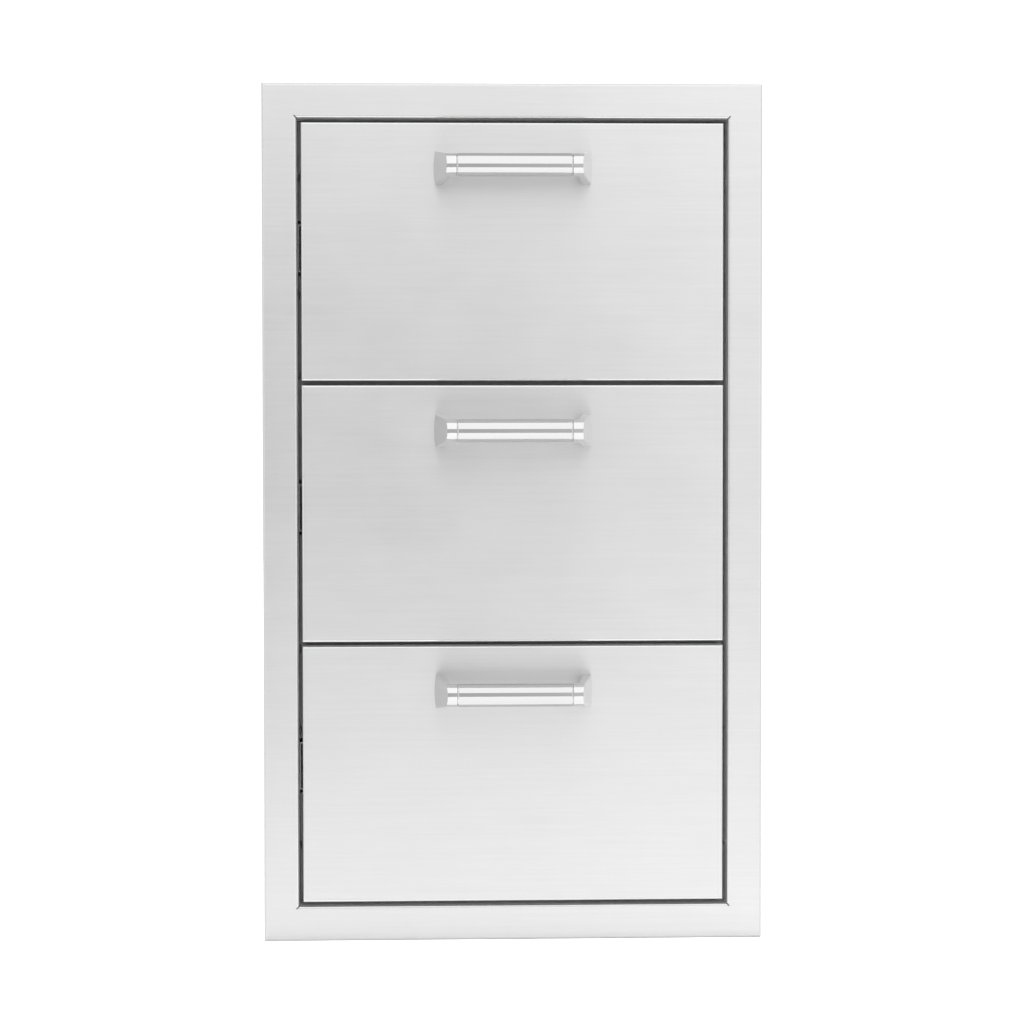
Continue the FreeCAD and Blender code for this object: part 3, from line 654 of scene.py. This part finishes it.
def make_face_frame():
    bottom, top = TRIM_MIDDLE - OPENING_HALF_HEIGHT, TRIM_MIDDLE + OPENING_HALF_HEIGHT
    bands = [(bottom, bottom + STOP_WIDTH), (top - STOP_WIDTH, top)]
    lips = [(bottom + STOP_WIDTH - STOP_SHEET, bottom + STOP_WIDTH)]
    lips += [(top - STOP_WIDTH, top - STOP_WIDTH + STOP_SHEET)]
    fronts = [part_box(f"{drawer}_front") for drawer in DRAWERS]
    for below, above in zip(fronts, fronts[1:]):
        middle = (below[1].z + above[0].z) / 2
        low, high = middle - RAIL_HALF_HEIGHT, middle + RAIL_HALF_HEIGHT
        bands += [(low, high)]
        lips += [(low, low + STOP_SHEET), (high - STOP_SHEET, high)]
    windows = []
    for drawer in DRAWERS:
        middle = middle_height(*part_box(f"{drawer}_left_outer_rail"))
        windows += [(middle - SLIDE_WINDOW, middle + SLIDE_WINDOW)]

    inner = OPENING_HALF_WIDTH - STOP_WIDTH
    columns = (-OPENING_HALF_WIDTH, -inner, inner, OPENING_HALF_WIDTH)
    layers = (JAMB_REAR - STOP_SHEET, JAMB_REAR, JAMB_REAR + RAIL_LIP)
    rows = sorted({height for ends in bands + lips + windows for height in ends})

    def within(height, ranges):
        return any(low < height < high for low, high in ranges)

    def filled(x, y, z):
        if abs(x) < inner:
            return within(z, bands if y < JAMB_REAR else lips)
        return y < JAMB_REAR and not within(z, windows)

    mesh = bmesh.new()
    cell_solid(mesh, columns, layers, rows, filled)
    piece = new_piece("face_frame", mesh, "case", "frame_steel_painted_shade")
    soften(piece, FRAME_ROUNDING)


# Pan-head screws with a cross recess
PAN_HEAD = [(3.4 * MM, 0.0), (3.5 * MM, 0.5 * MM), (3.2 * MM, 1.3 * MM), (2.6 * MM, 1.8 * MM)]
PAN_HEAD += [(2.1 * MM, 1.95 * MM)]
PAN_RECESS = [(cross_slot(1.7 * MM, 0.8 * MM), 1.95 * MM), (cross_slot(1.3 * MM, 0.55 * MM), 0.9 * MM)]
BOX_WALL = 1 * MM
SLIDE_SCREWS = (30 * MM, 150 * MM, 290 * MM, 420 * MM)
LINER_SCREWS_ACROSS = 125 * MM
LINER_SCREWS_UP = (40 * MM, 125 * MM)


def make_box_screws():
    """Screws inside each drawer box that hold its slides and its front."""
    for drawer in DRAWERS:
        mesh = bmesh.new()
        low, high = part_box(f"{drawer}_box")
        slide_z = middle_height(*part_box(f"{drawer}_left_inner_rail"))
        for sign in WAYS:
            wall = (high.x - BOX_WALL) * sign
            for back in SLIDE_SCREWS:
                move = pointing(Vector((wall, low.y + back, slide_z)), (-sign, 0, 0))
                turned(mesh, PAN_HEAD + PAN_RECESS, move, count=32)
            for up in LINER_SCREWS_UP:
                place = Vector((LINER_SCREWS_ACROSS * sign, low.y + BOX_WALL, low.z + up))
                turned(mesh, PAN_HEAD + PAN_RECESS, pointing(place, (0, 1, 0)), count=32)
        new_piece(f"{drawer}_box_screws", mesh, f"{drawer}_drawer", "screw_steel")


# Slide balls. The outer ones' places in the slide's section are counted from its face on the case and
# from its upper edge. The inner ones are a step nearer the box and the slide's middle.
BALL_DIAMETER = 3.5 * MM
OUTER_BALL = (5.67 * MM, 3.05 * MM)
BALL_STEP = 3.32 * MM
BALL_PITCH = 10 * MM
BALL_MARGIN = 5 * MM
BALL_FACETS = {"subdivisions": 2, "radius": BALL_DIAMETER / 2}


def make_balls():
    """Two rows of balls in each cage, above and below."""
    for drawer in DRAWERS:
        rail_low, rail_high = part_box(f"{drawer}_left_outer_rail")
        middle = middle_height(rail_low, rail_high)
        for ring, step in (("outer", 0.0), ("inner", BALL_STEP)):
            mesh = bmesh.new()
            cage_low, cage_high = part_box(f"{drawer}_{ring}_cages")
            inset = OUTER_BALL[0] + step
            rise = rail_high.z - middle - OUTER_BALL[1] - step
            count = round((cage_high.y - cage_low.y - 2 * BALL_MARGIN) / BALL_PITCH) + 1
            for sign, way, index in itertools.product(WAYS, WAYS, range(count)):
                y = cage_low.y + BALL_MARGIN + index * BALL_PITCH
                place = Vector(((SLIDE_FACE - inset) * sign, y, middle + rise * way))
                bmesh.ops.create_icosphere(mesh, matrix=Matrix.Translation(place), **BALL_FACETS)
            for face in mesh.faces:
                face.smooth = True
            body = f"{drawer}_{ring}_cage_pair"
            new_piece(f"{drawer}_{ring}_balls", mesh, body, "ball_steel")


make_camera()
make_world()
make_floor()
make_gap_card()
dress_nodes()
make_rivets()
make_corner_welds()
make_slit_plugs()
make_face_frame()
make_box_screws()
make_balls()

bpy.context.scene.view_settings.view_transform = "Standard"
